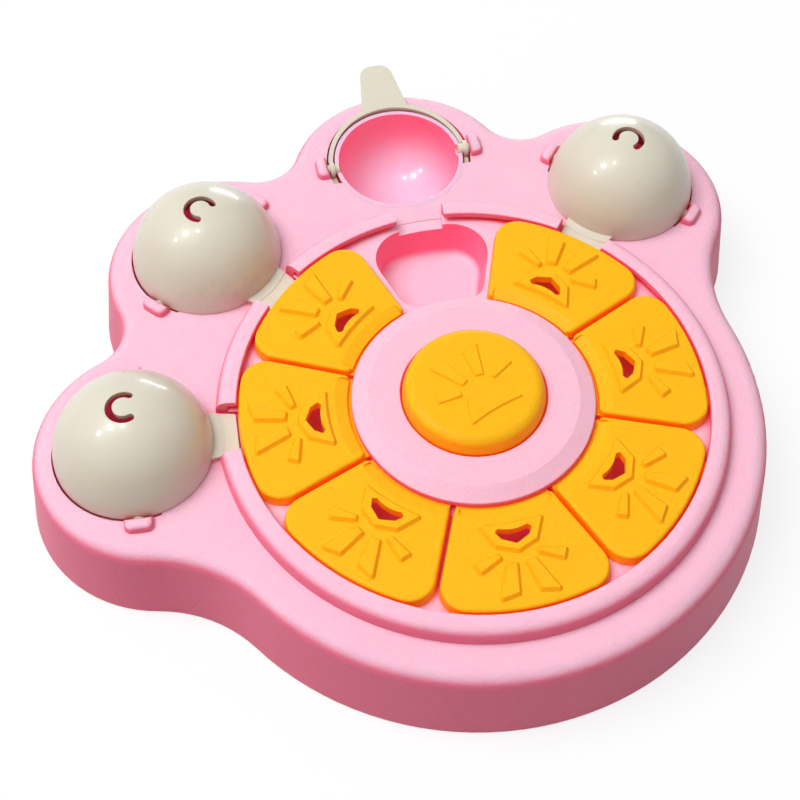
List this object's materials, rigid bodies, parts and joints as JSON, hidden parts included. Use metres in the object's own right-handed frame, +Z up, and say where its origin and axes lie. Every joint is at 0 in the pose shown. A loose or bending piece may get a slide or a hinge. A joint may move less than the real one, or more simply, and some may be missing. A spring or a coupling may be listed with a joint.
{
  "type": "dog puzzle feeder",
  "caption": "Paw-shaped dog puzzle feeder with tiles that slide round a track over treat pockets, domed flip lids on the toes and a squeaking button.",
  "frame": {"origin": "on the axis of the tile track, on the face of the middle foot that the toy stands on", "axes": "+Z up, +Y from the heel of the paw towards the toes, +X to the right seen from above"},
  "size_m": [0.2862, 0.2551, 0.0583],
  "materials": {
    "pink_shell": "matte",
    "deep_pink_tray": "glossy",
    "yellow": "satin",
    "ivory": "glossy",
    "white_rubber": "matte",
    "white_plastic": "satin",
    "grey_rubber": "matte",
    "steel": "polished"
  },
  "bodies": {
    "base": {"base_shell": "pink_shell", "bottom_cover": "pink_shell", "treat_tray": "deep_pink_tray", "center_ring": "pink_shell", "squeaker_bulb": "white_rubber", "squeaker_whistle": "white_plastic", "pin_clips_1": "white_plastic", "pin_clips_2": "white_plastic", "pin_clips_3": "white_plastic", "pin_clips_4": "white_plastic", "cover_screws": "steel", "tray_screws": "steel", "ring_screws": "steel", "clip_screws": "steel", "rubber_feet": "grey_rubber", "bowl_cup_1": "pink_shell", "bowl_cup_2": "pink_shell", "bowl_cup_3": "pink_shell", "bowl_cup_4": "pink_shell"},
    "tile_1": {"slider_tile_1": "yellow"},
    "tile_2": {"slider_tile_2": "yellow"},
    "tile_3": {"slider_tile_3": "yellow"},
    "tile_4": {"slider_tile_4": "yellow"},
    "tile_5": {"slider_tile_5": "yellow"},
    "tile_6": {"slider_tile_6": "yellow"},
    "tile_7": {"slider_tile_7": "yellow"},
    "lid_1": {"lid_1": "ivory"},
    "lid_2": {"lid_2": "ivory"},
    "lid_3": {"lid_3": "ivory"},
    "lid_4": {"lid_4": "ivory"},
    "button": {"squeak_button": "yellow"}
  },
  "joints": [
    {"name": "tile_1_slide_round", "type": "hinge", "parent": "base", "child": "tile_1", "pos_m": [0, 0, 0.0342], "axis": [0, 0, 1], "range_deg": [-39.4, 0]},
    {"name": "tile_2_slide_round", "type": "hinge", "parent": "base", "child": "tile_2", "pos_m": [0, 0, 0.0342], "axis": [0, 0, 1], "range_deg": [0, 39.4]},
    {"name": "tile_3_slide_round", "type": "hinge", "parent": "base", "child": "tile_3", "pos_m": [0, 0, 0.0342], "axis": [0, 0, 1], "range_deg": [0, 39.4]},
    {"name": "tile_4_slide_round", "type": "hinge", "parent": "base", "child": "tile_4", "pos_m": [0, 0, 0.0342], "axis": [0, 0, 1], "range_deg": [0, 39.4]},
    {"name": "tile_5_slide_round", "type": "hinge", "parent": "base", "child": "tile_5", "pos_m": [0, 0, 0.0342], "axis": [0, 0, 1], "range_deg": [0, 39.4]},
    {"name": "tile_6_slide_round", "type": "hinge", "parent": "base", "child": "tile_6", "pos_m": [0, 0, 0.0342], "axis": [0, 0, 1], "range_deg": [0, 39.4]},
    {"name": "tile_7_slide_round", "type": "hinge", "parent": "base", "child": "tile_7", "pos_m": [0, 0, 0.0342], "axis": [0, 0, 1], "range_deg": [0, 39.4]},
    {"name": "lid_1_flip", "type": "hinge", "parent": "base", "child": "lid_1", "pos_m": [-0.1038, 0.04951, 0.0314], "axis": [-0.4305, -0.9026, 0], "range_deg": [0, 173]},
    {"name": "lid_2_flip", "type": "hinge", "parent": "base", "child": "lid_2", "pos_m": [-0.04215, 0.107, 0.0314], "axis": [-0.9304, -0.3665, 0], "range_deg": [0, 173]},
    {"name": "lid_3_flip", "type": "hinge", "parent": "base", "child": "lid_3", "pos_m": [0.04215, 0.107, 0.0314], "axis": [-0.9304, 0.3665, 0], "range_deg": [-173, 0]},
    {"name": "lid_4_flip", "type": "hinge", "parent": "base", "child": "lid_4", "pos_m": [0.1038, 0.04951, 0.0314], "axis": [-0.4305, 0.9026, 0], "range_deg": [0, 173]},
    {"name": "button_press", "type": "slide", "parent": "base", "child": "button", "axis": [0, 0, -1], "range_m": [0, 0.004], "stiffness_N_per_m": 800, "deforming": ["squeaker_bulb"]}
  ],
  "couplings": [
    {"joint": "tile_3_slide_round", "follows": "tile_2_slide_round", "ratio": 1},
    {"joint": "tile_4_slide_round", "follows": "tile_2_slide_round", "ratio": 1},
    {"joint": "tile_5_slide_round", "follows": "tile_2_slide_round", "ratio": 1},
    {"joint": "tile_6_slide_round", "follows": "tile_2_slide_round", "ratio": 1},
    {"joint": "tile_7_slide_round", "follows": "tile_2_slide_round", "ratio": 1}
  ]
}
